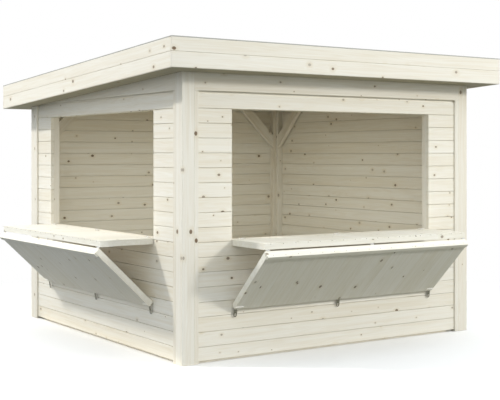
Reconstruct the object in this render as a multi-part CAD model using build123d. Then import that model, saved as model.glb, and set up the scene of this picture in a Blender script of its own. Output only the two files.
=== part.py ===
from build123d import *
import math
import os

# Wooden market stall: four framed and boarded walls under a lean-to roof, with a
# serving opening in the front and left walls. Each opening has a two-leaf flap: the
# upper leaf lies level as the counter and the lower leaf folds back as its prop.
# Millimetres, +Z up. +X runs along the front wall, +Y from the front to the back.

# Posts and frame, outside to outside
stall_width = 2940
stall_depth = 3045
post_size = 105
stile_width = 38
top_rail_drop = 148
sole_plate_height = 60

# Wall boards, held in grooves of the stiles and top rails
board_setback = 16
board_thickness = 28
groove_depth = 12
board_foot_gap = 20

# Serving openings
front_opening_margin = 449
left_opening_back_margin = 460
left_opening_front_margin = 492
sill_height = 932
head_drop = 134
trimmer_width = 45
reveal_depth = 102

# Corner braces
brace_rise = 409
brace_width = 100
brace_thickness = 45

# Roof, measured up from the sloping plane of the fascias' lower edges
front_eaves_height = 2228
roof_pitch = 3.0
front_overhang = 213
side_overhang = 205
back_overhang = 226
soffit_thickness = 15
rail_top_offset = 110
rafter_depth = 95
rafter_thickness = 45
rafter_count = 7
deck_thickness = 18
felt_thickness = 3
fascia_thickness = 20
lower_fascia_height = 117
upper_fascia_height = 111
board_joint = 0.6
trim_thickness = 2
trim_width = 30

# Flaps
counter_reach = 455
prop_length = 640
panel_thickness = 34
lining_thickness = 13
batten_width = 37
batten_thickness = 12
wall_clearance = 5
leaf_gap = 5

# Hinges and hasps of the flaps
knuckle_radius = 5
pin_radius = 2.5
pin_clearance = 0.25
knuckle_gap = 0.6
butt_length = 70
butt_plate_height = 34
butt_plate_thickness = 2
butt_inset = 90
fold_hinge_width = 32
fold_hinge_inset = 28
fold_strap_length = 120
fold_strap_thickness = 3
hasp_length = 72
hasp_width = 28
hasp_thickness = 2.5
hasp_knuckle_radius = 4
hasp_pin_radius = 2
hasp_plate_width = 36
hasp_inset = 20
hasp_lean = 11
end_plate_length = 72
end_plate_width = 20
end_plate_thickness = 2.5
end_plate_setback = 20

# Door in the back wall
door_margin = 740
door_width = 800
door_head_drop = 140
door_clearance = 3
ledge_width = 95
ledge_thickness = 22
ledge_end_gap = 40
strap_length = 420
strap_width = 35
strap_thickness = 4
strap_end = 50
handle_height = 1020
grip_length = 140

# Places worked out from the sizes above
top_rail_underside = front_eaves_height - top_rail_drop
head_height = top_rail_underside - head_drop
door_height = top_rail_underside - door_head_drop
boards_inner = board_setback + board_thickness
slope = math.tan(math.radians(roof_pitch))
leaf_thickness = panel_thickness + lining_thickness
counter_pin_out = -board_setback + wall_clearance / 2
counter_pin_height = sill_height + knuckle_radius + knuckle_gap
leaf_inner_edge = -board_setback + wall_clearance
prop_pin_out = leaf_inner_edge + counter_reach + leaf_gap / 2
prop_pin_height = sill_height - leaf_thickness - knuckle_radius - knuckle_gap
pin_to_face = knuckle_radius + knuckle_gap
prop_far = prop_length + leaf_gap / 2
# The folded prop's outer corner stops at the wall clearance in front of the boards.
prop_corner_radius = math.hypot(prop_far, pin_to_face)
prop_corner_angle = math.atan2(pin_to_face, prop_far)
prop_fold = math.degrees(
    math.acos((leaf_inner_edge - prop_pin_out) / prop_corner_radius) + prop_corner_angle
)
fold_cos = math.cos(math.radians(prop_fold))
fold_sin = math.sin(math.radians(prop_fold))
flap_reach = prop_pin_out + leaf_gap / 2 * fold_cos + (pin_to_face + leaf_thickness) * fold_sin

# Walls: each is drawn as seen from outside, s to the right, d inward, z up
WALLS = {
    "front": Location((0, 0, 0)),
    "left": Pos(0, stall_depth, 0) * Rot(0, 0, -90),
    "right": Pos(stall_width, 0, 0) * Rot(0, 0, 90),
    "back": Pos(stall_width, stall_depth, 0) * Rot(0, 0, 180),
}
WALL_LENGTH = {
    "front": stall_width,
    "left": stall_depth,
    "right": stall_depth,
    "back": stall_width,
}

# The origin is on the ground under the middle of everything, flaps open.
front_reach = max(flap_reach, front_overhang)
left_reach = max(flap_reach, side_overhang)
origin = Pos(
    -(stall_width + side_overhang - left_reach) / 2,
    -(stall_depth + back_overhang - front_reach) / 2,
    0,
)

nodes = {}


def add(name, *solids):
    """Put one or more separate solids into a node, moved to the shared origin."""
    for solid in solids:
        nodes.setdefault(name, []).extend((origin * solid).solids())


def block(x0, x1, y0, y1, z0, z1):
    """A box between two opposite corners."""
    return Pos((x0 + x1) / 2, (y0 + y1) / 2, (z0 + z1) / 2) * Box(x1 - x0, y1 - y0, z1 - z0)


def eaves_plane(y):
    """Height of the fascias' lower edge at a distance y behind the posts' front."""
    return front_eaves_height - slope * (y + front_overhang)


def roof_layer(x0, x1, y0, y1, low, high):
    """A sloping slab of the roof between two upright offsets from the eaves plane."""
    outline = Polyline(
        (y0, eaves_plane(y0) + low),
        (y1, eaves_plane(y1) + low),
        (y1, eaves_plane(y1) + high),
        (y0, eaves_plane(y0) + high),
        close=True,
    )
    side = Plane(origin=(x0, 0, 0), x_dir=(0, 1, 0), z_dir=(1, 0, 0))
    return extrude(side * make_face(outline), x1 - x0)


def under_rafters(solid):
    """Cut a wall piece off at the rafters' sloping underside."""
    y0 = -front_overhang
    y1 = stall_depth + back_overhang
    x1 = stall_width + side_overhang
    above = roof_layer(-side_overhang, x1, y0, y1, rail_top_offset, front_eaves_height)
    return solid - above


# Corner posts
post_x = {"left": 0, "right": stall_width - post_size}
post_y = {"front": 0, "back": stall_depth - post_size}
for end, y in post_y.items():
    for side, x in post_x.items():
        post = block(x, x + post_size, y, y + post_size, 0, front_eaves_height + rail_top_offset)
        add("corner_posts", under_rafters(post))


# Framing of each wall
stile_inner = post_size + stile_width


def stile():
    """A grooved upright beside a post, with the boards' ends in its groove."""
    upright = block(post_size, stile_inner, 0, post_size, 0, top_rail_underside)
    groove = block(
        stile_inner - groove_depth,
        stile_inner,
        board_setback,
        boards_inner,
        board_foot_gap,
        top_rail_underside,
    )
    return upright - groove


def top_rail(length):
    """The rail over the boards, from post to post, grooved below for the boards."""
    rail_top = front_eaves_height + rail_top_offset
    rail = block(post_size, length - post_size, 0, post_size, top_rail_underside, rail_top)
    groove = block(
        stile_inner - groove_depth,
        length - stile_inner + groove_depth,
        board_setback,
        boards_inner,
        top_rail_underside,
        top_rail_underside + groove_depth,
    )
    return rail - groove


def both_ends(solid, wall):
    """A piece at the left end of a wall and its mirror image at the right end."""
    middle = Plane(origin=(WALL_LENGTH[wall] / 2, 0, 0), z_dir=(1, 0, 0))
    return WALLS[wall] * solid, WALLS[wall] * mirror(solid, middle)


for wall, place in WALLS.items():
    length = WALL_LENGTH[wall]
    add("stiles", *both_ends(stile(), wall))
    add("top_rails", under_rafters(place * top_rail(length)))
    plate = block(stile_inner, length - stile_inner, boards_inner, post_size, 0, sole_plate_height)
    add("sole_plates", place * plate)


# Boarding of each wall
boards_top = top_rail_underside + groove_depth


def boards(s0, s1, z0, z1):
    """A stretch of the wall's boarding."""
    return block(s0, s1, board_setback, boards_inner, z0, z1)


def boarding_round(wall, s0, s1, sill, head):
    """Boarding split beside, over and under an opening."""
    place = WALLS[wall]
    first = stile_inner - groove_depth
    last = WALL_LENGTH[wall] - stile_inner + groove_depth
    add(f"{wall}_boards_over", place * boards(first, last, head, boards_top))
    add(f"{wall}_boards_beside", place * boards(first, s0, sill, head))
    add(f"{wall}_boards_beside", place * boards(s1, last, sill, head))
    if sill > board_foot_gap:
        add(f"{wall}_boards_below", place * boards(first, last, board_foot_gap, sill))


OPENINGS = {
    "front": (front_opening_margin, stall_width - front_opening_margin),
    "left": (left_opening_back_margin, stall_depth - left_opening_front_margin),
}
for wall, (start, end) in OPENINGS.items():
    boarding_round(wall, start, end, sill_height, head_height)

boarding_round("back", door_margin, door_margin + door_width, board_foot_gap, door_height)
right_first = stile_inner - groove_depth
right_last = stall_depth - stile_inner + groove_depth
add("right_boards", WALLS["right"] * boards(right_first, right_last, board_foot_gap, boards_top))


def trimmers(s0, s1):
    """Two uprights beside an opening, behind the boards."""
    rise = (sole_plate_height, head_height)
    left = block(s0 - trimmer_width, s0, boards_inner, reveal_depth, *rise)
    right = block(s1, s1 + trimmer_width, boards_inner, reveal_depth, *rise)
    return left, right


def cross_piece(s0, s1, z0, z1):
    """A level member of an opening's frame, behind the boards."""
    return block(s0, s1, boards_inner, reveal_depth, z0, z1)


for wall, (start, end) in OPENINGS.items():
    place = WALLS[wall]
    left, right = trimmers(start, end)
    add("opening_trimmers", place * left, place * right)
    sill = cross_piece(start, end, sill_height - trimmer_width, sill_height)
    add("opening_sills", place * sill)
    head = cross_piece(
        start - trimmer_width, end + trimmer_width, head_height, head_height + trimmer_width
    )
    add("opening_heads", place * head)


# Braces in the corners of the two closed walls
def brace():
    """A board at 45 degrees from a stile up to the top rail."""
    foot = top_rail_underside - brace_rise
    upright_width = brace_width * math.sqrt(2)
    outline = Polyline(
        (stile_inner, foot),
        (stile_inner + brace_rise, top_rail_underside),
        (stile_inner + brace_rise - upright_width, top_rail_underside),
        (stile_inner, foot + upright_width),
        close=True,
    )
    face = Plane(origin=(0, post_size, 0), x_dir=(1, 0, 0), z_dir=(0, -1, 0)) * make_face(outline)
    return extrude(face, brace_thickness)


for wall in ("back", "right"):
    add("corner_braces", *both_ends(brace(), wall))


# Roof
roof_left = -side_overhang
roof_right = stall_width + side_overhang
roof_front = -front_overhang
roof_back = stall_depth + back_overhang
inner_left = roof_left + fascia_thickness
inner_right = roof_right - fascia_thickness
inner_front = roof_front + fascia_thickness
inner_back = roof_back - fascia_thickness
rafter_top = rail_top_offset + rafter_depth
deck_top = rafter_top + deck_thickness
felt_top = deck_top + felt_thickness

rafter_step = (inner_right - inner_left - rafter_thickness) / (rafter_count - 1)
rafters = []
for index in range(rafter_count):
    x = inner_left + index * rafter_step
    layer = roof_layer(
        x, x + rafter_thickness, inner_front, inner_back, rail_top_offset, rafter_top
    )
    rafters.append(layer)
add("rafters", *rafters)
add("roof_deck", roof_layer(inner_left, inner_right, inner_front, inner_back, rafter_top, deck_top))
add("roof_felt", roof_layer(inner_left, inner_right, inner_front, inner_back, deck_top, felt_top))

lower_board = (0, lower_fascia_height)
upper_board = (
    lower_fascia_height + board_joint,
    lower_fascia_height + board_joint + upper_fascia_height,
)
fascia_runs = [
    (roof_left, roof_right, roof_front, inner_front),
    (roof_left, roof_right, inner_back, roof_back),
    (roof_left, inner_left, inner_front + board_joint, inner_back - board_joint),
    (inner_right, roof_right, inner_front + board_joint, inner_back - board_joint),
]
for run in fascia_runs:
    add("lower_fascias", roof_layer(*run, *lower_board))
    add("upper_fascias", roof_layer(*run, *upper_board))

soffit_runs = [
    (inner_left, inner_right, inner_front, 0),
    (inner_left, inner_right, stall_depth, inner_back),
    (inner_left, 0, board_joint, stall_depth - board_joint),
    (stall_width, inner_right, board_joint, stall_depth - board_joint),
]
for run in soffit_runs:
    add("soffits", roof_layer(*run, 0, soffit_thickness))

trim_low = upper_board[1]
trim_top = trim_low + trim_thickness
trim = roof_layer(roof_left, roof_right, roof_front, roof_back, trim_low, trim_top)
trim -= roof_layer(
    roof_left + trim_width,
    roof_right - trim_width,
    roof_front + trim_width,
    roof_back - trim_width,
    trim_low - trim_thickness,
    trim_top + trim_thickness,
)
add("roof_edge_trim", trim)


# Flaps: drawn unfolded and level in wall coordinates, then the prop is turned to rest
def along(s0, s1, out0, out1, z0, z1):
    """A box on the outside of a wall, from out0 to out1 in front of the posts."""
    return block(s0, s1, -out1, -out0, z0, z1)


def fold_prop(solid):
    """Turn a solid of the prop about its pin from level to its resting place."""
    pin = Axis((0, -prop_pin_out, prop_pin_height), (1, 0, 0))
    return solid.rotate(pin, prop_fold)


def round_bar(s0, s1, out, z, radius):
    """A round bar along the wall."""
    bar = Cylinder(radius, s1 - s0)
    return Pos((s0 + s1) / 2, -out, z) * Rot(0, 90, 0) * bar


def knuckles(s0, s1, out, z, radius, pin):
    """The pin with the two outer knuckles, the middle knuckle, and what each spans."""
    third = (s1 - s0) / 3
    half_gap = knuckle_gap / 2
    outer_spans = ((s0, s0 + third - half_gap), (s1 - third + half_gap, s1))
    middle_span = (s0 + third + half_gap, s1 - third - half_gap)
    held = round_bar(s0, s1, out, z, pin)
    for span in outer_spans:
        held += round_bar(*span, out, z, radius)
    turning = round_bar(*middle_span, out, z, radius)
    bore = round_bar(s0, s1, out, z, pin + pin_clearance)
    return outer_spans, held, middle_span, turning, bore


def butt_hinge(middle):
    """A butt hinge in the gap between the boards under the sill and the counter."""
    s0 = middle - butt_length / 2
    s1 = middle + butt_length / 2
    outer_spans, fixed, middle_span, moving, bore = knuckles(
        s0, s1, counter_pin_out, counter_pin_height, knuckle_radius, pin_radius
    )
    on_boards = (-board_setback, -board_setback + butt_plate_thickness)
    on_leaf = (leaf_inner_edge - butt_plate_thickness, leaf_inner_edge)
    plate_foot = sill_height - butt_plate_height
    fixed += along(s0, s1, *on_boards, plate_foot, sill_height)
    for span in outer_spans:
        fixed += along(*span, *on_boards, sill_height, counter_pin_height)
    moving += along(s0, s1, *on_leaf, plate_foot, sill_height)
    moving += along(*middle_span, *on_leaf, sill_height, counter_pin_height)
    return fixed, moving - bore


def fold_hinge(middle):
    """A strap hinge under the two leaves, drawn unfolded, with its knuckles below the gap."""
    s0 = middle - fold_hinge_width / 2
    s1 = middle + fold_hinge_width / 2
    outer_spans, fixed, middle_span, moving, bore = knuckles(
        s0, s1, prop_pin_out, prop_pin_height, knuckle_radius, pin_radius
    )
    underside = sill_height - leaf_thickness
    thickness = (underside - fold_strap_thickness, underside)
    counter_side = prop_pin_out - knuckle_radius - knuckle_gap
    prop_side = prop_pin_out + knuckle_radius + knuckle_gap
    fixed += along(s0, s1, counter_side - fold_strap_length, counter_side, *thickness)
    for span in outer_spans:
        fixed += along(*span, counter_side, prop_pin_out, *thickness)
    moving += along(s0, s1, prop_side, prop_side + fold_strap_length, *thickness)
    moving += along(*middle_span, prop_pin_out, prop_side, *thickness)
    return fixed, moving - bore


def hasp(middle):
    """A hasp on the prop's free edge: the plate with two lugs and a pin, and the strap."""
    edge = prop_pin_out + prop_far
    out = edge + hasp_knuckle_radius
    z = sill_height - lining_thickness
    s0 = middle - hasp_width / 2
    s1 = middle + hasp_width / 2
    outer_spans, _, middle_span, strap, bore = knuckles(
        s0, s1, out, z, hasp_knuckle_radius, hasp_pin_radius
    )
    plate = along(
        middle - hasp_plate_width / 2,
        middle + hasp_plate_width / 2,
        edge,
        edge + hasp_thickness,
        z - hasp_plate_width / 2,
        z + hasp_knuckle_radius,
    )
    room = round_bar(s0, s1, out, z, hasp_knuckle_radius + knuckle_gap)
    fixed = plate - room + round_bar(s0, s1, out, z, hasp_pin_radius)
    for span in outer_spans:
        fixed += along(*span, edge, out + hasp_thickness, z - hasp_thickness, z + hasp_thickness)
    strap_start = out + hasp_knuckle_radius + knuckle_gap
    thickness = (z - hasp_thickness / 2, z + hasp_thickness / 2)
    strap += along(s0, s1, strap_start, out + hasp_length, *thickness)
    strap += along(*middle_span, out, strap_start, *thickness)
    strap -= bore
    hang = Axis((0, -out, z), (1, 0, 0))
    return fixed, strap.rotate(hang, 90 + hasp_lean - prop_fold)


def end_plate(s0):
    """A flat plate on the prop's inner face, near the free edge."""
    far = prop_pin_out + prop_far - end_plate_setback
    top = sill_height + end_plate_thickness
    return along(s0, s0 + end_plate_length, far - end_plate_width, far, sill_height, top)


for wall, (start, end) in OPENINGS.items():
    place = WALLS[wall]
    middle = (start + end) / 2
    under = sill_height - leaf_thickness
    panel_top = under + panel_thickness
    outer = leaf_inner_edge + counter_reach
    near = outer + leaf_gap
    add(f"{wall}_counter", place * along(start, end, leaf_inner_edge, outer, under, panel_top))
    lining = along(start, end, leaf_inner_edge, outer, panel_top, sill_height)
    add(f"{wall}_counter_lining", place * lining)
    prop = along(start, end, near, near + prop_length, under, panel_top)
    add(f"{wall}_prop", place * fold_prop(prop))
    lining = along(start, end, near, near + prop_length, panel_top, sill_height)
    add(f"{wall}_prop_lining", place * fold_prop(lining))
    batten = along(
        start + wall_clearance,
        end - wall_clearance,
        near,
        near + batten_width,
        sill_height,
        sill_height + batten_thickness,
    )
    add(f"{wall}_prop_batten", place * fold_prop(batten))

    for s in (start + butt_inset, middle, end - butt_inset):
        fixed, moving = butt_hinge(s)
        add("sill_hinges", place * fixed)
        add(f"{wall}_counter_ironwork", place * moving)
    for s in (start + fold_hinge_inset, middle, end - fold_hinge_inset):
        fixed, moving = fold_hinge(s)
        add(f"{wall}_counter_ironwork", place * fixed)
        add(f"{wall}_prop_ironwork", place * fold_prop(moving))
    for s in (start + hasp_inset, middle, end - hasp_inset):
        plate, strap = hasp(s)
        add(f"{wall}_prop_ironwork", place * fold_prop(plate))
        add(f"{wall}_hasps", place * fold_prop(strap))
    for s in (start, end - end_plate_length):
        add(f"{wall}_prop_ironwork", place * fold_prop(end_plate(s)))


# Door in the back wall
door_s0 = door_margin + door_clearance
door_s1 = door_margin + door_width - door_clearance
door_foot = board_foot_gap + door_clearance
door_top = door_height - door_clearance
ledge_heights = (
    sole_plate_height + ledge_end_gap,
    (door_foot + door_top - ledge_width) / 2,
    door_top - ledge_end_gap - ledge_width,
)
back = WALLS["back"]
add("door_leaf", back * boards(door_s0, door_s1, door_foot, door_top))
for z in ledge_heights:
    ledge = block(
        door_s0 + ledge_end_gap,
        door_s1 - ledge_end_gap,
        boards_inner,
        boards_inner + ledge_thickness,
        z,
        z + ledge_width,
    )
    add("door_ledges", back * ledge)
outer_face = (board_setback - strap_thickness, board_setback)
for z in (ledge_heights[0], ledge_heights[-1]):
    middle = z + ledge_width / 2
    strap = block(
        door_s1 - strap_length,
        door_s1 + strap_end,
        *outer_face,
        middle - strap_width / 2,
        middle + strap_width / 2,
    )
    add("door_ironwork", back * strap)
grip = block(
    door_s0 + ledge_end_gap,
    door_s0 + ledge_end_gap + strap_width,
    *outer_face,
    handle_height,
    handle_height + grip_length,
)
add("door_ironwork", back * grip)

os.makedirs("parts", exist_ok=True)
for name, solids in nodes.items():
    shape = Compound(children=solids) if len(solids) > 1 else solids[0]
    export_step(shape, f"parts/{name}.step")
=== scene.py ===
import math
import random

import bmesh
import bpy
from mathutils import Matrix, Vector


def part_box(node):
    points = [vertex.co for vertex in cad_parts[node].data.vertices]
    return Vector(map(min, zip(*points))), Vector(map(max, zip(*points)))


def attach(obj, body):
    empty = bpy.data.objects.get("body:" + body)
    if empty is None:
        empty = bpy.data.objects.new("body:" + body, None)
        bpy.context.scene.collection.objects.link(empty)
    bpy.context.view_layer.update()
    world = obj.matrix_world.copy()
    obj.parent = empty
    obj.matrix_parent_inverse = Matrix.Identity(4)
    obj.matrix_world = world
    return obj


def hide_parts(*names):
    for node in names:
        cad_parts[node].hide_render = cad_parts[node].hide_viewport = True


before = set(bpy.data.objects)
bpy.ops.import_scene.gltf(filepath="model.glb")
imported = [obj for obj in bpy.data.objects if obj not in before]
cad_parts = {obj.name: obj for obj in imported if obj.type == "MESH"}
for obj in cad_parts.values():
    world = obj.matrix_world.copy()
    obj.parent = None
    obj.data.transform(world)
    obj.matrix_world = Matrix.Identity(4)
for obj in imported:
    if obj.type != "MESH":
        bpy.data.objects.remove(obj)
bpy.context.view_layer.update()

# Posts, stiles and rails. They are planed softwood, square in section with eased
# edges, and carry the walls and the roof. Every other timber uses the same grain.
softwood_grain = bpy.data.node_groups.new("Softwood Grain", "ShaderNodeTree")
knots_per_metre = 4.6
smallest_knot, knot_range = 0.25, 0.9
faintest_knot = 0.35
knot_stretch = (0.75, 1.0, 0.0)
fibre_pull = 0.8
ring_streaks = (0.55, 9.0, 9.0)
ring_turns = 95.0
fibre_streaks = (6.0, 420.0, 420.0)
broad_streaks = (1.1, 22.0, 22.0)
knot_edge, halo_edge, pull_edge = (1.05, 0.75), (3.2, 1.0), (5.0, 0.6)
ring_contrast, fibre_contrast, broad_contrast = (-0.6, 1.0), (0.3, 0.7), (0.35, 0.7)
ring_depth, fibre_depth, broad_depth = 0.14, 0.14, 0.30
tone_depth, halo_depth = 0.30, 0.35
ring_height, fibre_height, knot_height = 0.4, 0.6, -0.8
grain_relief = 0.0006


def add_node(tree, kind, inputs=None, **settings):
    """Add a node to a tree, set its properties, and fill or link its inputs."""
    made = tree.nodes.new(kind)
    for name, value in settings.items():
        setattr(made, name, value)
    for name, value in (inputs or {}).items():
        if isinstance(value, bpy.types.NodeSocket):
            tree.links.new(value, made.inputs[name])
        else:
            made.inputs[name].default_value = value
    return made


def calculate(tree, operation, *values, clamp=False):
    """Add a Math node and return its result."""
    made = add_node(tree, "ShaderNodeMath", dict(enumerate(values)), operation=operation)
    made.use_clamp = clamp
    return made.outputs[0]


def combine(tree, operation, *values):
    """Add a Vector Math node and return its vector."""
    made = add_node(tree, "ShaderNodeVectorMath", dict(enumerate(values)), operation=operation)
    return made.outputs["Vector"]


def blend_colors(tree, factor, first, second):
    """Mix two colours by a factor."""
    mix = add_node(tree, "ShaderNodeMix", data_type="RGBA")
    for index, value in ((0, factor), (6, first), (7, second)):
        if isinstance(value, bpy.types.NodeSocket):
            tree.links.new(value, mix.inputs[index])
        else:
            mix.inputs[index].default_value = value
    return mix.outputs[2]


def ramp(tree, value, low, high, to_low=0.0, to_high=1.0):
    """Map a value smoothly from one range to another."""
    made = add_node(
        tree,
        "ShaderNodeMapRange",
        {"Value": value, "From Min": low, "From Max": high, "To Min": to_low, "To Max": to_high},
        interpolation_type="SMOOTHSTEP",
    )
    return made.outputs["Result"]


def build_softwood_grain(group):
    """Fill the group: fibres along X, growth rings, and knots that the fibres flow round."""
    inputs = (
        ("Grain", "NodeSocketVector", (0, 0, 0)),
        ("Tone", "NodeSocketFloat", 0.5),
        ("Pale", "NodeSocketColor", (1, 1, 1, 1)),
        ("Deep", "NodeSocketColor", (1, 1, 1, 1)),
        ("Knot", "NodeSocketColor", (0, 0, 0, 1)),
        ("Knot Share", "NodeSocketFloat", 0.5),
        ("Knot Size", "NodeSocketFloat", 0.014),
    )
    for name, kind, value in inputs:
        socket = group.interface.new_socket(name, in_out="INPUT", socket_type=kind)
        socket.default_value = value
    for name, kind in (("Color", "NodeSocketColor"), ("Height", "NodeSocketFloat")):
        group.interface.new_socket(name, in_out="OUTPUT", socket_type=kind)
    source = add_node(group, "NodeGroupInput").outputs
    cells = add_node(
        group,
        "ShaderNodeTexVoronoi",
        {"Vector": source["Grain"], "Scale": knots_per_metre, "Randomness": 1.0},
        voronoi_dimensions="2D",
    )
    away = combine(group, "SUBTRACT", source["Grain"], cells.outputs["Position"])
    flat = combine(group, "MULTIPLY", away, knot_stretch)
    distance = add_node(group, "ShaderNodeVectorMath", {0: flat}, operation="LENGTH").outputs["Value"]
    chance = add_node(group, "ShaderNodeSeparateColor", {"Color": cells.outputs["Color"]})
    present = calculate(group, "LESS_THAN", chance.outputs["Red"], source["Knot Share"])
    spread = calculate(group, "MULTIPLY_ADD", chance.outputs["Green"], knot_range, smallest_knot)
    radius = calculate(group, "MULTIPLY", spread, source["Knot Size"])
    reach = calculate(group, "DIVIDE", distance, radius)
    knot = calculate(group, "MULTIPLY", ramp(group, reach, *knot_edge), present)
    halo = calculate(group, "MULTIPLY", ramp(group, reach, *halo_edge), present)
    pull = calculate(group, "MULTIPLY", ramp(group, reach, *pull_edge), present)
    pull = calculate(group, "MULTIPLY", pull, fibre_pull)
    sideways = combine(group, "MULTIPLY", away, (0.0, 1.0, 0.0))
    shift = add_node(group, "ShaderNodeVectorMath", {0: sideways, "Scale": pull}, operation="SCALE")
    bent = combine(group, "SUBTRACT", source["Grain"], shift.outputs["Vector"])

    def streaks(scale, detail):
        """Noise stretched along the fibres."""
        stretched = combine(group, "MULTIPLY", bent, scale)
        noise = add_node(
            group,
            "ShaderNodeTexNoise",
            {"Vector": stretched, "Scale": 1.0, "Detail": detail, "Roughness": 0.6},
        )
        return noise.outputs["Fac"]

    figure = streaks(ring_streaks, 1.0)
    rings = calculate(group, "SINE", calculate(group, "MULTIPLY", figure, ring_turns))
    rings = ramp(group, rings, *ring_contrast)
    fibres = streaks(fibre_streaks, 2.0)
    broad = streaks(broad_streaks, 2.0)
    depth = calculate(group, "MULTIPLY", rings, ring_depth)
    fine = ramp(group, fibres, *fibre_contrast)
    coarse = ramp(group, broad, *broad_contrast)
    depth = calculate(group, "MULTIPLY_ADD", fine, fibre_depth, depth)
    depth = calculate(group, "MULTIPLY_ADD", coarse, broad_depth, depth)
    depth = calculate(group, "MULTIPLY_ADD", source["Tone"], tone_depth, depth)
    depth = calculate(group, "MULTIPLY_ADD", halo, halo_depth, depth, clamp=True)
    wood = blend_colors(group, depth, source["Pale"], source["Deep"])
    strength = calculate(
        group, "MULTIPLY_ADD", chance.outputs["Blue"], 1 - faintest_knot, faintest_knot
    )
    color = blend_colors(group, calculate(group, "MULTIPLY", knot, strength), wood, source["Knot"])
    height = calculate(group, "MULTIPLY", fibres, fibre_height)
    height = calculate(group, "MULTIPLY_ADD", rings, ring_height, height)
    height = calculate(group, "MULTIPLY_ADD", knot, knot_height, height)
    out = add_node(group, "NodeGroupOutput")
    group.links.new(color, out.inputs["Color"])
    group.links.new(height, out.inputs["Height"])


build_softwood_grain(softwood_grain)


def principled(name):
    """A new material and its Principled BSDF."""
    material = bpy.data.materials.new(name)
    material.use_nodes = True
    return material, material.node_tree, material.node_tree.nodes["Principled BSDF"]


def softwood(name, pale, deep, knot, knot_share, knot_size, roughness=0.6):
    """A planed softwood that takes its grain and tone from the piece's own attributes."""
    material, tree, shader = principled(name)
    grain = add_node(tree, "ShaderNodeAttribute", attribute_name="grain")
    tone = add_node(tree, "ShaderNodeAttribute", attribute_name="tone")
    wood = add_node(tree, "ShaderNodeGroup", node_tree=softwood_grain)
    tree.links.new(grain.outputs["Vector"], wood.inputs["Grain"])
    tree.links.new(tone.outputs["Fac"], wood.inputs["Tone"])
    wood.inputs["Pale"].default_value = (*pale, 1)
    wood.inputs["Deep"].default_value = (*deep, 1)
    wood.inputs["Knot"].default_value = (*knot, 1)
    wood.inputs["Knot Share"].default_value = knot_share
    wood.inputs["Knot Size"].default_value = knot_size
    bump = add_node(
        tree,
        "ShaderNodeBump",
        {"Height": wood.outputs["Height"], "Strength": 0.5, "Distance": grain_relief},
    )
    tree.links.new(wood.outputs["Color"], shader.inputs["Base Color"])
    tree.links.new(bump.outputs["Normal"], shader.inputs["Normal"])
    shader.inputs["Roughness"].default_value = roughness
    return material


merge_distance = 1e-5
flat_angle = math.radians(1)
sharp_angle = math.radians(30)
upright_share = 0.9


def take_connected(start, left, neighbours):
    """Take out of a set all that hangs together with one of its items."""
    left.remove(start)
    found = [start]
    for item in found:
        for other in neighbours(item):
            if other in left:
                left.remove(other)
                found.append(other)
    return found


def faces_beside(face):
    """The faces that share an edge with a face, where only two meet."""
    return [other for edge in face.edges if len(edge.link_faces) == 2 for other in edge.link_faces]


def separate_solids(node):
    """The separate closed timbers of a CAD node, each as a bmesh with its faces merged."""
    whole = bmesh.new()
    whole.from_mesh(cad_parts[node].data)
    bmesh.ops.remove_doubles(whole, verts=whole.verts, dist=merge_distance)
    left = set(whole.faces)
    while left:
        found = take_connected(min(left, key=lambda face: face.index), left, faces_beside)
        solid = bmesh.new()
        copies = {}
        for face in found:
            for vertex in face.verts:
                if vertex not in copies:
                    copies[vertex] = solid.verts.new(vertex.co)
            solid.faces.new([copies[vertex] for vertex in face.verts])
        solid.normal_update()
        bmesh.ops.dissolve_limit(
            solid, angle_limit=flat_angle, verts=solid.verts, edges=solid.edges
        )
        yield solid
    whole.free()


def ease_edges(solid, easing):
    """Round the sharp edges of a bmesh a little."""
    sharp = [
        edge for edge in solid.edges if edge.is_manifold and edge.calc_face_angle() > sharp_angle
    ]
    bmesh.ops.bevel(
        solid, geom=sharp, offset=easing, segments=2, profile=0.5, affect="EDGES", clamp_overlap=True
    )


def move_corners(solid, rise, upper):
    """Raise or lower the corners at the upper or the lower end of a solid's upright edges."""
    corners = set()
    for edge in solid.edges:
        low, high = sorted(edge.verts, key=lambda vertex: vertex.co.z)
        if high.co.z - low.co.z > upright_share * edge.calc_length():
            corners.add(high if upper else low)
    for corner in corners:
        corner.co.z += rise


def longest_edge(solid):
    """The direction of a solid's longest edge."""
    edge = max(solid.edges, key=lambda e: e.calc_length())
    return (edge.verts[1].co - edge.verts[0].co).normalized()


log_length, log_depth = 40, 4


def lay_grain(solid, along, chance):
    """Give a bmesh grain coordinates, X along the fibres, from a chance place in a log, and a tone."""
    along = Vector(along).normalized()
    across = Vector((0, 0, 1)) if abs(along.z) < upright_share else Vector((1, 0, 0))
    third = along.cross(across).normalized()
    across = third.cross(along).normalized()
    offset = Vector(chance.uniform(0, reach) for reach in (log_length, log_length, log_depth))
    shade = chance.random()
    grain = solid.verts.layers.float_vector.new("grain")
    tone = solid.verts.layers.float.new("tone")
    for vertex in solid.verts:
        a, b, c = (vertex.co.dot(axis) for axis in (along, across, third))
        vertex[grain] = Vector((a, b + c, b - c)) + offset
        vertex[tone] = shade


def join_solids(name, solids):
    """Put several bmeshes into one mesh."""
    mesh = bpy.data.meshes.new(name)
    joined = bmesh.new()
    for solid in solids:
        solid.to_mesh(mesh)
        solid.free()
        joined.from_mesh(mesh)
    joined.to_mesh(mesh)
    joined.free()
    return mesh


def show(name, mesh, material, body, slot, *nodes):
    """Show a finished mesh as a piece that rides on a body and stands for CAD nodes."""
    piece = bpy.data.objects.new(name, mesh)
    bpy.context.scene.collection.objects.link(piece)
    mesh.materials.clear()
    mesh.materials.append(material)
    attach(piece, body)
    if nodes:
        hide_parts(*nodes)
    return piece


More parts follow.
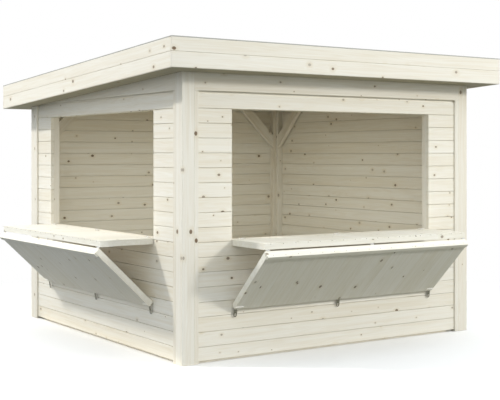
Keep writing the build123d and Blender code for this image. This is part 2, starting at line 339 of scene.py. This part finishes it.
def timber(node, material, slot="frame_wood", body="stall", easing=0.0025, along=None, lowered=0.0):
    """Dress a CAD node's timbers: eased edges, and grain along each one's length."""
    solids = []
    for number, solid in enumerate(separate_solids(node)):
        fibres = along or longest_edge(solid)
        if lowered:
            move_corners(solid, -lowered, upper=True)
        if easing:
            ease_edges(solid, easing)
        lay_grain(solid, fibres, random.Random(f"{node} {number}"))
        solids.append(solid)
    return show(f"{node}_wood", join_solids(node, solids), material, body, slot, node)


planed_pine = softwood(
    "planed_pine",
    pale=(0.90, 0.876, 0.80),
    deep=(0.765, 0.69, 0.55),
    knot=(0.17, 0.11, 0.06),
    knot_share=0.6,
    knot_size=0.013,
)
opening_frame = ("opening_sills", "opening_heads", "opening_trimmers")
for frame_node in ("corner_posts", "stiles", "top_rails", "sole_plates", *opening_frame):
    timber(frame_node, planed_pine)

# Corner braces. Each is a short board at 45 degrees from a stile to the top rail,
# nailed to the inside of the frame at the two back corners.
timber("corner_braces", planed_pine)

# Wall boards. They are 28 mm softwood boards that cover 114 mm each, laid level with a
# narrow joint that shows the tongue, and run from post to post past the openings.
board_cover = 0.114
board_gap = 0.0035
board_joint_depth = 0.0015
tongue_thickness = 0.006
lowest_joint = 0.0086
tongue_clearance = 0.004
no_opening = ((0, 0, -5), (0.1, 0.1, 0.1))
near_left, far_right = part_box("corner_posts")


def wall_place(x, y, turn):
    """The place of a wall whose left end, seen from outside, stands at a corner of the stall."""
    return Matrix.Translation((x, y, 0)) @ Matrix.Rotation(math.radians(turn), 4, "Z")


wall_places = {
    "front": wall_place(near_left.x, near_left.y, 0),
    "left": wall_place(near_left.x, far_right.y, -90),
    "right": wall_place(far_right.x, near_left.y, 90),
    "back": wall_place(far_right.x, far_right.y, 180),
}


def new_tree(name, inputs):
    """An empty Geometry Nodes tree with named inputs, and its input sockets."""
    tree = bpy.data.node_groups.new(name, "GeometryNodeTree")
    tree.interface.new_socket("Geometry", in_out="OUTPUT", socket_type="NodeSocketGeometry")
    for label, kind in inputs:
        tree.interface.new_socket(label, in_out="INPUT", socket_type=f"NodeSocket{kind}")
    return tree, tree.nodes.new("NodeGroupInput").outputs


def finish_tree(tree, geometry, material):
    """Realize what a tree has made, give it its material and put it out."""
    real = add_node(tree, "GeometryNodeRealizeInstances", {"Geometry": geometry})
    flat = add_node(
        tree, "GeometryNodeSetShadeSmooth", {"Geometry": real.outputs["Geometry"], "Shade Smooth": False}
    )
    dressed = add_node(
        tree, "GeometryNodeSetMaterial", {"Geometry": flat.outputs["Geometry"], "Material": material}
    )
    out = tree.nodes.new("NodeGroupOutput")
    tree.links.new(dressed.outputs["Geometry"], out.inputs["Geometry"])


def grow(tree, **values):
    """Run a Geometry Nodes tree with the given inputs and return the plain mesh."""
    holder = bpy.data.objects.new(tree.name, bpy.data.meshes.new(tree.name))
    bpy.context.scene.collection.objects.link(holder)
    modifier = holder.modifiers.new(tree.name, "NODES")
    modifier.node_group = tree
    for item in tree.interface.items_tree:
        key = item.name.lower().replace(" ", "_")
        if item.in_out == "INPUT" and key in values:
            modifier[item.identifier] = values[key]
    shown = holder.evaluated_get(bpy.context.evaluated_depsgraph_get())
    mesh = bpy.data.meshes.new_from_object(shown)
    holder.modifiers.remove(modifier)
    bpy.data.objects.remove(holder)
    return mesh


def vector(tree, x=0.0, y=0.0, z=0.0):
    """Join three numbers or sockets into a vector."""
    return add_node(tree, "ShaderNodeCombineXYZ", {"X": x, "Y": y, "Z": z}).outputs["Vector"]


def block(tree, size, middle):
    """A box of a given size about a given middle."""
    cube = add_node(tree, "GeometryNodeMeshCube", {"Size": size})
    moved = add_node(
        tree, "GeometryNodeTransform", {"Geometry": cube.outputs["Mesh"], "Translation": middle}
    )
    return moved.outputs["Geometry"]


def build_boarding():
    """Boards side by side up Z, each along X and its thickness along Y, cut to a box and an opening."""
    tree, given = new_tree(
        "Boarding",
        (
            ("Start", "Float"),
            ("Length", "Float"),
            ("Foot", "Float"),
            ("Top", "Float"),
            ("Depth", "Float"),
            ("Thickness", "Float"),
            ("Tongue Thickness", "Float"),
            ("Cover", "Float"),
            ("Gap", "Float"),
            ("Joint Depth", "Float"),
            ("First Joint", "Float"),
            ("Count", "Int"),
            ("Opening Middle", "Vector"),
            ("Opening Size", "Vector"),
            ("Material", "Material"),
        ),
    )
    height = calculate(tree, "SUBTRACT", given["Cover"], given["Gap"])
    section = add_node(
        tree,
        "GeometryNodeCurvePrimitiveQuadrilateral",
        {"Width": given["Thickness"], "Height": height},
    )
    section = add_node(
        tree,
        "GeometryNodeFilletCurve",
        {"Curve": section.outputs["Curve"], "Radius": given["Joint Depth"], "Limit Radius": True},
        mode="POLY",
    )
    start = vector(tree, x=given["Start"])
    end = vector(tree, x=calculate(tree, "ADD", given["Start"], given["Length"]))
    run = add_node(tree, "GeometryNodeCurvePrimitiveLine", {"Start": start, "End": end})
    board = add_node(
        tree,
        "GeometryNodeCurveToMesh",
        {"Curve": run.outputs["Curve"], "Profile Curve": section.outputs["Curve"], "Fill Caps": True},
    )
    half_board = calculate(tree, "MULTIPLY", given["Cover"], 0.5)
    lowest = vector(
        tree, y=given["Depth"], z=calculate(tree, "ADD", given["First Joint"], half_board)
    )
    step = vector(tree, z=given["Cover"])
    places = add_node(
        tree,
        "GeometryNodeMeshLine",
        {"Count": given["Count"], "Start Location": lowest, "Offset": step},
    )
    boards = add_node(
        tree,
        "GeometryNodeInstanceOnPoints",
        {"Points": places.outputs["Mesh"], "Instance": board.outputs["Mesh"]},
    )
    boards = add_node(tree, "GeometryNodeRealizeInstances", {"Geometry": boards.outputs["Instances"]})
    rise = calculate(tree, "SUBTRACT", given["Top"], given["Foot"])
    middle = vector(
        tree,
        x=calculate(tree, "MULTIPLY_ADD", given["Length"], 0.5, given["Start"]),
        y=given["Depth"],
        z=calculate(tree, "MULTIPLY_ADD", rise, 0.5, given["Foot"]),
    )
    kept_size = vector(tree, x=calculate(tree, "MULTIPLY", given["Length"], 2.0), y=1.0, z=rise)
    tongue_size = vector(
        tree,
        x=calculate(tree, "SUBTRACT", given["Length"], tongue_clearance),
        y=given["Tongue Thickness"],
        z=calculate(tree, "SUBTRACT", rise, tongue_clearance),
    )
    tongue = block(tree, tongue_size, middle)
    trimmed = add_node(tree, "GeometryNodeMeshBoolean", operation="INTERSECT", solver="EXACT")
    tree.links.new(boards.outputs["Geometry"], trimmed.inputs["Mesh 2"])
    tree.links.new(block(tree, kept_size, middle), trimmed.inputs["Mesh 2"])
    joined = add_node(tree, "GeometryNodeJoinGeometry")
    for part, margin in ((trimmed.outputs["Mesh"], 0.0), (tongue, tongue_clearance)):
        opening = combine(tree, "ADD", given["Opening Size"], (margin, 0.0, margin))
        cut = add_node(
            tree,
            "GeometryNodeMeshBoolean",
            {"Mesh 1": part, "Mesh 2": block(tree, opening, given["Opening Middle"])},
            operation="DIFFERENCE",
            solver="EXACT",
        )
        tree.links.new(cut.outputs["Mesh"], joined.inputs["Geometry"])
    finish_tree(tree, joined.outputs["Geometry"], given["Material"])
    return tree


boarding_tree = build_boarding()
wall_pine = softwood(
    "wall_board_pine",
    pale=(0.915, 0.889, 0.81),
    deep=(0.785, 0.71, 0.56),
    knot=(0.17, 0.115, 0.06),
    knot_share=0.66,
    knot_size=0.012,
)


def span(corners):
    """The lowest and the highest of some corners, axis by axis."""
    axes = list(zip(*corners))
    return Vector(min(axis) for axis in axes), Vector(max(axis) for axis in axes)


def in_wall(wall, node):
    """A node's lowest and highest corners in its wall's own coordinates."""
    back = wall_places[wall].inverted()
    return span(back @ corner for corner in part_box(node))


def vertices_beside(vertex):
    """The vertices at the other ends of a vertex's edges."""
    return [edge.other_vert(vertex) for edge in vertex.link_edges]


def separate_boards(mesh, name, first_joint):
    """Split grown boarding into boards, each with the grain and tone of its row."""
    whole = bmesh.new()
    whole.from_mesh(mesh)
    left = set(whole.verts)
    for start in whole.verts:
        if start not in left:
            continue
        found = take_connected(start, left, vertices_beside)
        board = bmesh.new()
        copies = {vertex: board.verts.new(vertex.co) for vertex in found}
        for face in {face for vertex in found for face in vertex.link_faces}:
            board.faces.new([copies[vertex] for vertex in face.verts])
        middle = sum(vertex.co.z for vertex in found) / len(found)
        row = int((middle - first_joint) / board_cover)
        lay_grain(board, (1, 0, 0), random.Random(f"{name} {row}"))
        yield board
    whole.free()


def lay_boards(name, box, material, first_joint, count, opening=no_opening, **joint):
    """Fill a box with boards along X, stacked up Z. Their joints are a wall's unless given."""
    low, high = box
    sizes = {"tongue_thickness": tongue_thickness, "gap": board_gap, "joint_depth": board_joint_depth}
    mesh = grow(
        boarding_tree,
        start=low.x,
        length=high.x - low.x,
        foot=low.z,
        top=high.z,
        depth=(low.y + high.y) / 2,
        thickness=high.y - low.y,
        cover=board_cover,
        first_joint=first_joint,
        count=count,
        opening_middle=opening[0],
        opening_size=opening[1],
        material=material,
        **(sizes | joint),
    )
    return join_solids(name, list(separate_boards(mesh, name, first_joint)))


def wall_boarding(wall, nodes, opening):
    """The boards of one wall, cut round its opening, as one piece for its CAD nodes."""
    low, high = span(corner for node in nodes for corner in in_wall(wall, node))
    count = int((high.z - lowest_joint) / board_cover)
    mesh = lay_boards(wall, (low, high), wall_pine, lowest_joint, count, opening)
    mesh.transform(wall_places[wall])
    show(f"{wall}_wall_boards", mesh, wall_pine, "stall", "board_wood", *nodes)


def opening_between(wall, below, over, beside):
    """Middle and size of a wall's opening, from the boards round it."""
    foot = in_wall(wall, below)[1].z if below else 0.0
    head = in_wall(wall, over)[0].z
    back = wall_places[wall].inverted()
    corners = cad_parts[beside].data.vertices
    ends = sorted({round((back @ corner.co).x, 5) for corner in corners})
    start, end = ends[1], ends[2]
    tall = head - foot
    return ((start + end) / 2, 0, foot + tall / 2), (end - start, 1, tall)


for board_wall in ("front", "left"):
    below, beside, over = (f"{board_wall}_boards_{part}" for part in ("below", "beside", "over"))
    wall_boarding(board_wall, (below, beside, over), opening_between(board_wall, below, over, beside))
wall_boarding(
    "back",
    ("back_boards_beside", "back_boards_over"),
    opening_between("back", None, "back_boards_over", "back_boards_beside"),
)
wall_boarding("right", ("right_boards",), no_opening)

# Roof. Sawn rafters carry a boarded deck under mineral felt, and a two-board fascia
# with a boarded soffit closes the overhang all round.
sawn_pine = softwood(
    "sawn_pine",
    pale=(0.68, 0.58, 0.42),
    deep=(0.52, 0.40, 0.25),
    knot=(0.16, 0.09, 0.04),
    knot_share=0.5,
    knot_size=0.014,
    roughness=0.75,
)
timber("rafters", sawn_pine, "rough_wood")
timber("roof_deck", sawn_pine, "rough_wood", easing=0.0, along=(1, 0, 0))
strip_lip = 0.006
fascia_easing = 0.004
timber("lower_fascias", planed_pine, "board_wood", easing=fascia_easing)
timber("upper_fascias", planed_pine, "board_wood", easing=fascia_easing, lowered=strip_lip)
# The soffits take a much darker copy of the pine, which paints the shade under the eaves into their
# colour.
soffit_pine = softwood(
    "soffit_pine",
    pale=(0.38, 0.35, 0.25),
    deep=(0.30, 0.27, 0.18),
    knot=(0.16, 0.10, 0.05),
    knot_share=0.3,
    knot_size=0.012,
    roughness=0.7,
)
timber("soffits", soffit_pine, "board_wood")
felt_width = 0.95
felt_lap = 0.012
felt_start = -9.7
felt_dark, felt_pale = (0.035, 0.038, 0.04, 1), (0.13, 0.135, 0.135, 1)
granules_per_metre = 420.0
granule_contrast = (0.1, 0.6)
granule_share, patch_share, lap_darkness = 0.5, 0.5, -0.6
felt_relief = 0.001
felt_roughness = 0.9


def felt_material():
    """Dark mineral felt with pale granules, in strips that run down the slope and lap."""
    material, tree, shader = principled("mineral_felt")
    place = add_node(tree, "ShaderNodeTexCoord").outputs["Object"]
    granules = add_node(tree, "ShaderNodeTexVoronoi", {"Vector": place, "Scale": granules_per_metre})
    patches = add_node(tree, "ShaderNodeTexNoise", {"Vector": place, "Scale": 3.0, "Detail": 3.0})
    speck = ramp(tree, granules.outputs["Distance"], *granule_contrast)
    across = add_node(tree, "ShaderNodeSeparateXYZ", {"Vector": place}).outputs["X"]
    strips = calculate(tree, "DIVIDE", calculate(tree, "SUBTRACT", across, felt_start), felt_width)
    lap = ramp(tree, calculate(tree, "FRACT", strips), felt_lap, 0.0)
    speck = calculate(tree, "MULTIPLY", speck, granule_share)
    shade = calculate(tree, "MULTIPLY_ADD", patches.outputs["Fac"], patch_share, speck)
    shade = calculate(tree, "MULTIPLY_ADD", lap, lap_darkness, shade, clamp=True)
    color = blend_colors(tree, shade, felt_dark, felt_pale)
    height = calculate(tree, "SUBTRACT", granules.outputs["Distance"], lap)
    bump = add_node(
        tree, "ShaderNodeBump", {"Height": height, "Strength": 0.6, "Distance": felt_relief}
    )
    tree.links.new(color, shader.inputs["Base Color"])
    tree.links.new(bump.outputs["Normal"], shader.inputs["Normal"])
    shader.inputs["Roughness"].default_value = felt_roughness
    return material


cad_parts["roof_felt"].material_slots[0].material = felt_material()
mottles_per_metre = 90.0
mottle_shade = 0.8
mottle_dullness = 0.15


def painted_metal(name, color, roughness, metallic=0.0):
    """Painted or plated sheet metal with faint mottling."""
    material, tree, shader = principled(name)
    place = add_node(tree, "ShaderNodeTexCoord").outputs["Object"]
    noise = add_node(
        tree,
        "ShaderNodeTexNoise",
        {"Vector": place, "Scale": mottles_per_metre, "Detail": 3.0},
    )
    dark = tuple(mottle_shade * part for part in color)
    shade = blend_colors(tree, noise.outputs["Fac"], (*color, 1), (*dark, 1))
    tree.links.new(shade, shader.inputs["Base Color"])
    dullness = ramp(tree, noise.outputs["Fac"], 0, 1, roughness, roughness + mottle_dullness)
    tree.links.new(dullness, shader.inputs["Roughness"])
    shader.inputs["Metallic"].default_value = metallic
    return material


def metal_mesh(node, easing, lip=0.0):
    """A CAD node's metal parts with their faces merged and edges eased."""
    solids = list(separate_solids(node))
    for solid in solids:
        if lip:
            move_corners(solid, -lip, upper=False)
        ease_edges(solid, easing)
    return join_solids(node, solids)


strip_easing = 0.0006
edge_metal = painted_metal("grey_edge_strip", (0.52, 0.52, 0.48), 0.5)
edge_strip = metal_mesh("roof_edge_trim", strip_easing, strip_lip)
show("roof_edge_strip", edge_strip, edge_metal, "stall", "edge_trim", "roof_edge_trim")

# Flaps. The counter and prop leaves are boarded panels with a thin boarded lining on
# the inner face, and each prop has a batten along its hinged edge.
flap_pine = softwood(
    "flap_pine",
    pale=(0.91, 0.89, 0.82),
    deep=(0.77, 0.725, 0.59),
    knot=(0.16, 0.11, 0.06),
    knot_share=0.62,
    knot_size=0.012,
)
panel_joint = {"gap": 0.0006, "joint_depth": 0.0015}
lining_joint = {"gap": 0.0003, "joint_depth": 0.0006}
batten_easing = 0.0012
cross_share = 0.1
flap_length_ways = {"front": Vector((1, 0, 0)), "left": Vector((0, 1, 0))}


def leaf_space(node, length_way, level=False):
    """Place and box of a leaf, with X along its boards, which run across it unless level."""
    panel = next(separate_solids(node))
    edges = [edge.verts[1].co - edge.verts[0].co for edge in panel.edges]
    cross_edges = [edge for edge in edges if abs(edge.normalized().dot(length_way)) < cross_share]
    cross_way = max(cross_edges, key=lambda edge: edge.length).normalized()
    fibres, stack = (length_way, cross_way) if level else (cross_way, length_way)
    place = Matrix((fibres, stack.cross(fibres), stack)).transposed().to_4x4()
    box = span(place.inverted() @ vertex.co for vertex in panel.verts)
    panel.free()
    return place, box


def leaf_boarding(node, length_way, body, level, joint):
    """One layer of a flap leaf, as boards side by side."""
    place, box = leaf_space(node, length_way, level)
    low, high = box
    count = math.ceil((high.z - low.z) / board_cover)
    half_thickness = (high.y - low.y) / 2
    mesh = lay_boards(
        node, box, flap_pine, low.z, count, tongue_thickness=half_thickness, **joint
    )
    mesh.transform(place)
    show(f"{node}_boards", mesh, flap_pine, body, "board_wood", node)


for flap, length_way in flap_length_ways.items():
    for leaf in ("counter", "prop"):
        leaf_body = f"{flap}_{leaf}_leaf"
        leaf_boarding(f"{flap}_{leaf}", length_way, leaf_body, True, panel_joint)
        leaf_boarding(f"{flap}_{leaf}_lining", length_way, leaf_body, False, lining_joint)
    timber(f"{flap}_prop_batten", flap_pine, "board_wood", f"{flap}_prop_leaf", batten_easing)

# Nails. One brad holds each lining board at the edge where the leaves of a flap meet,
# and shows as a small dull steel head.
nail_radius = 0.0028
nail_height = 0.0012
nail_sides = 12
flap_outward_ways = {"front": Vector((0, -1, 0)), "left": Vector((-1, 0, 0))}


def build_fixings():
    """A row of round flat heads from one point to another, facing one way."""
    tree, given = new_tree(
        "Fixings",
        (
            ("Start", "Vector"),
            ("End", "Vector"),
            ("Count", "Int"),
            ("Radius", "Float"),
            ("Height", "Float"),
            ("Facing", "Vector"),
            ("Material", "Material"),
        ),
    )
    row = add_node(
        tree,
        "GeometryNodeMeshLine",
        {"Count": given["Count"], "Start Location": given["Start"], "Offset": given["End"]},
        mode="END_POINTS",
    )
    head = add_node(
        tree,
        "GeometryNodeMeshCylinder",
        {"Vertices": nail_sides, "Radius": given["Radius"], "Depth": given["Height"]},
    )
    turn = add_node(tree, "FunctionNodeAlignRotationToVector", {"Vector": given["Facing"]}, axis="Z")
    heads = add_node(
        tree,
        "GeometryNodeInstanceOnPoints",
        {
            "Points": row.outputs["Mesh"],
            "Instance": head.outputs["Mesh"],
            "Rotation": turn.outputs["Rotation"],
        },
    )
    finish_tree(tree, heads.outputs["Instances"], given["Material"])
    return tree


fixings_tree = build_fixings()
nail_steel = painted_metal("nail_steel", (0.30, 0.26, 0.20), 0.5)


def nail_row(leaf_name, length_way, outward):
    """One nail for each lining board, in the edge of a leaf that lies farthest from the wall."""
    place, (low, high) = leaf_space(f"{leaf_name}_lining", length_way)
    middle = (low.y + high.y) / 2
    ends = (low.x, high.x)
    near, far = sorted(ends, key=lambda x: (place @ Vector((x, low.y, low.z))).dot(outward))
    count = math.ceil((high.z - low.z) / board_cover)
    return grow(
        fixings_tree,
        start=place @ Vector((far, middle, low.z + board_cover / 2)),
        end=place @ Vector((far, middle, low.z + board_cover * (count - 0.5))),
        count=count,
        radius=nail_radius,
        height=nail_height,
        facing=place.to_3x3() @ Vector((far - near, 0, 0)).normalized(),
        material=nail_steel,
    )


for flap, length_way in flap_length_ways.items():
    for leaf in ("counter", "prop"):
        leaf_name = f"{flap}_{leaf}"
        nails = nail_row(leaf_name, length_way, flap_outward_ways[flap])
        show(f"{leaf_name}_nails", nails, nail_steel, f"{leaf_name}_leaf", "ironwork")

# Hinges. The counters turn on butt hinges at the sill, painted to match the wood, and
# bright zinc strap hinges join the two leaves of each flap.
hinge_easing = 0.0003
cream_paint = painted_metal("cream_paint", (0.76, 0.72, 0.62), 0.45)
bright_zinc = painted_metal("bright_zinc", (0.95, 0.95, 0.93), 0.18, 1.0)


def ironwork(node, material, body, easing):
    """Dress a CAD node's plates, knuckles and pins."""
    show(f"{node}_metal", metal_mesh(node, easing), material, body, "ironwork", node)


ironwork("sill_hinges", cream_paint, "stall", hinge_easing)
for flap in flap_length_ways:
    for leaf in ("counter", "prop"):
        ironwork(f"{flap}_{leaf}_ironwork", bright_zinc, f"{flap}_{leaf}_leaf", hinge_easing)

# Hasps. Three zinc straps hang loose from the free edge of each prop. Their zinc is
# coloured dark to paint the shade they hang in. Each has a rounded lower end with a slot,
# as for a staple.
dull_zinc = painted_metal("dull_zinc", (0.17, 0.165, 0.125), 0.35, 1.0)
hasp_width = 0.028
slot_width = 0.010
slot_length = 0.026
slot_setback = 0.020
foot_depth, pivot_depth = 0.002, 0.008
bar_length, bar_depth = 0.12, 0.06
arc_steps = 12


def join_meshes(name, meshes):
    """Put several meshes into one."""
    joined = bmesh.new()
    for mesh in meshes:
        joined.from_mesh(mesh)
    whole = bpy.data.meshes.new(name)
    joined.to_mesh(whole)
    joined.free()
    return whole


def middle_of(points):
    """The mean of some points."""
    return sum(points, Vector()) / len(points)


def rounded_bar(start, end, radius, across, through):
    """A closed prism round a line, with half-round ends."""
    along = (end - start).normalized()
    outline = []
    for centre, first in ((end, -90), (start, 90)):
        for step in range(arc_steps + 1):
            angle = math.radians(first + 180 / arc_steps * step)
            outline.append(centre + radius * (math.cos(angle) * along + math.sin(angle) * across))
    prism = bmesh.new()
    lower = [prism.verts.new(point - bar_depth / 2 * through) for point in outline]
    upper = [prism.verts.new(point + bar_depth / 2 * through) for point in outline]
    prism.faces.new(lower)
    prism.faces.new(upper)
    for index in range(len(outline)):
        after = (index + 1) % len(outline)
        prism.faces.new((lower[index], lower[after], upper[after], upper[index]))
    bmesh.ops.recalc_face_normals(prism, faces=prism.faces)
    return prism


def cut_mesh(mesh, cutter, operation):
    """Cut a mesh with a bmesh and return the result."""
    holders = []
    cutter_mesh = bpy.data.meshes.new("cutter")
    cutter.to_mesh(cutter_mesh)
    cutter.free()
    for part in (mesh, cutter_mesh):
        holder = bpy.data.objects.new("cut", part)
        bpy.context.scene.collection.objects.link(holder)
        holders.append(holder)
    modifier = holders[0].modifiers.new("cut", "BOOLEAN")
    modifier.object = holders[1]
    modifier.operation = operation
    modifier.solver = "EXACT"
    result = bpy.data.meshes.new_from_object(
        holders[0].evaluated_get(bpy.context.evaluated_depsgraph_get())
    )
    for holder in holders:
        bpy.data.objects.remove(holder)
    return result


def hasp_strap(solid, across):
    """One strap with its lower end rounded and slotted."""
    corners = [vertex.co.copy() for vertex in solid.verts]
    lowest = min(corner.z for corner in corners)
    highest = max(corner.z for corner in corners)
    sides = [corner.dot(across) for corner in corners]
    middle = (max(sides) + min(sides)) / 2
    foot = middle_of([corner for corner in corners if corner.z < lowest + foot_depth])
    pivot = middle_of([corner for corner in corners if corner.z > highest - pivot_depth])
    along = foot - pivot
    along = (along - along.dot(across) * across).normalized()
    through = along.cross(across)
    foot += (middle - foot.dot(across)) * across
    round_centre = foot - hasp_width / 2 * along
    slot_foot = foot - slot_setback / 2 * along
    slot_head = slot_foot - (slot_length - slot_width) * along
    mesh = bpy.data.meshes.new("hasp")
    solid.to_mesh(mesh)
    solid.free()
    outline = rounded_bar(
        round_centre - bar_length * along, round_centre, hasp_width / 2, across, through
    )
    slot = rounded_bar(slot_head, slot_foot, slot_width / 2, across, through)
    return cut_mesh(cut_mesh(mesh, outline, "INTERSECT"), slot, "DIFFERENCE")


for flap, length_way in flap_length_ways.items():
    node = f"{flap}_hasps"
    straps = join_meshes(node, [hasp_strap(solid, length_way) for solid in separate_solids(node)])
    body = f"{flap}_hasp_straps"
    show(f"{body}_metal", straps, dull_zinc, body, "ironwork", node)

# Back door. It is a plain ledged door of upright boards with two strap hinges and a
# pull, and it stands closed.
door_ironwork_easing = 0.0005
door_place = Matrix(((0, 0, 1), (0, -1, 0), (1, 0, 0))).to_4x4()
door_low, door_high = span(door_place.inverted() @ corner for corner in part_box("door_leaf"))
board_count = math.ceil((door_high.z - door_low.z) / board_cover)
door_boards = lay_boards("door", (door_low, door_high), wall_pine, door_low.z, board_count)
door_boards.transform(door_place)
show("door_leaf_boards", door_boards, wall_pine, "stall", "board_wood", "door_leaf")
timber("door_ledges", planed_pine, "board_wood")
# The door's ironwork takes the same zinc, whose dark colour is painted shade.
ironwork("door_ironwork", dull_zinc, "stall", door_ironwork_easing)

# Floor and lights. A pale floor fades into a white background. A large soft lamp stands
# on each side that shows, and weak ones light the room and the space behind each prop.
background_white = 1.0
white = (1, 1, 1, 1)
floor_reach = 40.0
floor_drop = 0.0005
floor_roughness = 0.9
floor_grey = (0.88, 0.88, 0.88, 1)
fade_start, fade_end = 2.2, 4.5
walls_reach = 1.4
bounce_inside = (0.80, 0.76, 0.66, 1)
bounce_outside = (0.095, 0.097, 0.062, 1)
bounce_left = (0.035, 0.045, 0.045, 1)
sky_strength = 1.2
sky_tint = (0.93, 0.97, 1, 1)


def seen_directly(tree):
    """1 for rays that the camera sees straight, in a reflection or through glass, else 0."""
    path = add_node(tree, "ShaderNodeLightPath").outputs
    seen = calculate(tree, "MAXIMUM", path["Is Camera Ray"], path["Is Glossy Ray"])
    return calculate(tree, "MAXIMUM", seen, path["Is Transmission Ray"])


def studio_floor():
    """A pale floor that gives back less light outside the walls, and least on the left."""
    mesh = bpy.data.meshes.new("studio_floor")
    corners = [(-1, -1), (1, -1), (1, 1), (-1, 1)]
    mesh.from_pydata([(x * floor_reach, y * floor_reach, 0) for x, y in corners], [], [(0, 1, 2, 3)])
    floor = bpy.data.objects.new("studio_floor", mesh)
    bpy.context.scene.collection.objects.link(floor)
    floor.location.z = -floor_drop
    material, tree, shader = principled("studio_floor")
    shader.inputs["Roughness"].default_value = floor_roughness
    place = add_node(tree, "ShaderNodeTexCoord").outputs["Object"]
    away = add_node(tree, "ShaderNodeVectorMath", {0: place}, operation="LENGTH").outputs["Value"]
    glow = add_node(tree, "ShaderNodeEmission", {"Strength": background_white})
    seen = seen_directly(tree)
    sides = add_node(tree, "ShaderNodeSeparateXYZ", {"Vector": place}).outputs
    out_x = calculate(tree, "ABSOLUTE", sides["X"])
    out_y = calculate(tree, "ABSOLUTE", sides["Y"])
    farther = calculate(tree, "MAXIMUM", out_x, out_y)
    outside = calculate(tree, "GREATER_THAN", farther, walls_reach)
    leftward = calculate(tree, "LESS_THAN", sides["X"], -walls_reach)
    bounced = blend_colors(tree, outside, bounce_inside, bounce_outside)
    bounced = blend_colors(tree, leftward, bounced, bounce_left)
    pale = blend_colors(tree, seen, bounced, floor_grey)
    tree.links.new(pale, shader.inputs["Base Color"])
    fade = calculate(tree, "MULTIPLY", ramp(tree, away, fade_start, fade_end), seen)
    mix = add_node(tree, "ShaderNodeMixShader", {0: fade, 1: shader.outputs[0], 2: glow.outputs[0]})
    tree.links.new(mix.outputs[0], tree.nodes["Material Output"].inputs["Surface"])
    mesh.materials.append(material)


def studio_world():
    """Soft even light, seen as white by the camera and in reflections."""
    world = bpy.data.worlds.new("studio")
    bpy.context.scene.world = world
    world.use_nodes = True
    tree = world.node_tree
    background = tree.nodes["Background"]
    seen = seen_directly(tree)
    tree.links.new(blend_colors(tree, seen, sky_tint, white), background.inputs["Color"])
    strength = ramp(tree, seen, 0.0, 1.0, sky_strength, background_white)
    tree.links.new(strength, background.inputs["Strength"])


def lamp(name, place, aim, size, power, color, length=None):
    """A soft lamp that faces a point: square, or a strip that lies level if it has a length."""
    light = bpy.data.lights.new(name, "AREA")
    light.shape = "RECTANGLE"
    light.size = length or size
    light.size_y = size
    light.energy = power
    light.color = color
    holder = bpy.data.objects.new(name, light)
    bpy.context.scene.collection.objects.link(holder)
    holder.location = place
    holder.rotation_euler = (Vector(aim) - Vector(place)).to_track_quat("-Z", "Y").to_euler()
    holder.visible_camera = False
    holder.visible_glossy = False


studio_floor()
studio_world()
warm_white = (1.0, 0.97, 0.92)
soft_white = (1.0, 0.98, 0.94)
cool_white = (0.96, 1.0, 0.92)
wood_glow = (1.0, 0.94, 0.87)
lamp(
    "left_lamp",
    place=(-11.3, 6.65, 12.9),
    aim=(-1.3, 0.0, 1.0),
    size=1.1,
    power=1690,
    color=warm_white,
)
lamp(
    "front_lamp",
    place=(6.4, -11.2, 6.4),
    aim=(0.0, -1.4, 0.8),
    size=1.6,
    power=640,
    color=soft_white,
)
lamp(
    "inside_lamp",
    place=(0.0, 0.1, 2.02),
    aim=(0.0, 0.1, 0.0),
    size=1.6,
    power=9,
    color=cool_white,
)
lamp(
    "front_counter_lamp",
    place=(0.138, -1.61, 0.72),
    aim=(0.138, -1.5, 0.82),
    size=0.05,
    length=1.9,
    power=0.2,
    color=wood_glow,
)
lamp(
    "left_counter_lamp",
    place=(-1.55, 0.144, 0.72),
    aim=(-1.45, 0.144, 0.82),
    size=0.05,
    length=1.9,
    power=0.3,
    color=wood_glow,
)

# Camera. It stands about 8 m from the near corner at eye height and looks level, so that
# uprights stay upright, with its frame moved instead of tilted.
image_width, image_height = 500, 400
focal_pixels = 1072.877
sight_u, sight_v = 291.762, 154.78
camera_place = (-5.26025, -8.48445, 1.5906)
camera_turn = math.radians(34.83)
camera_data = bpy.data.cameras.new("camera")
camera_data.sensor_width = 36.0
camera_data.lens = camera_data.sensor_width * focal_pixels / image_width
camera_data.shift_x = (image_width / 2 - sight_u) / image_width
camera_data.shift_y = (sight_v - image_height / 2) / image_width
camera = bpy.data.objects.new("camera", camera_data)
bpy.context.scene.collection.objects.link(camera)
camera.location = camera_place
camera.rotation_euler = (math.radians(90), 0, -camera_turn)
bpy.context.scene.camera = camera
bpy.context.scene.view_settings.view_transform = "Standard"
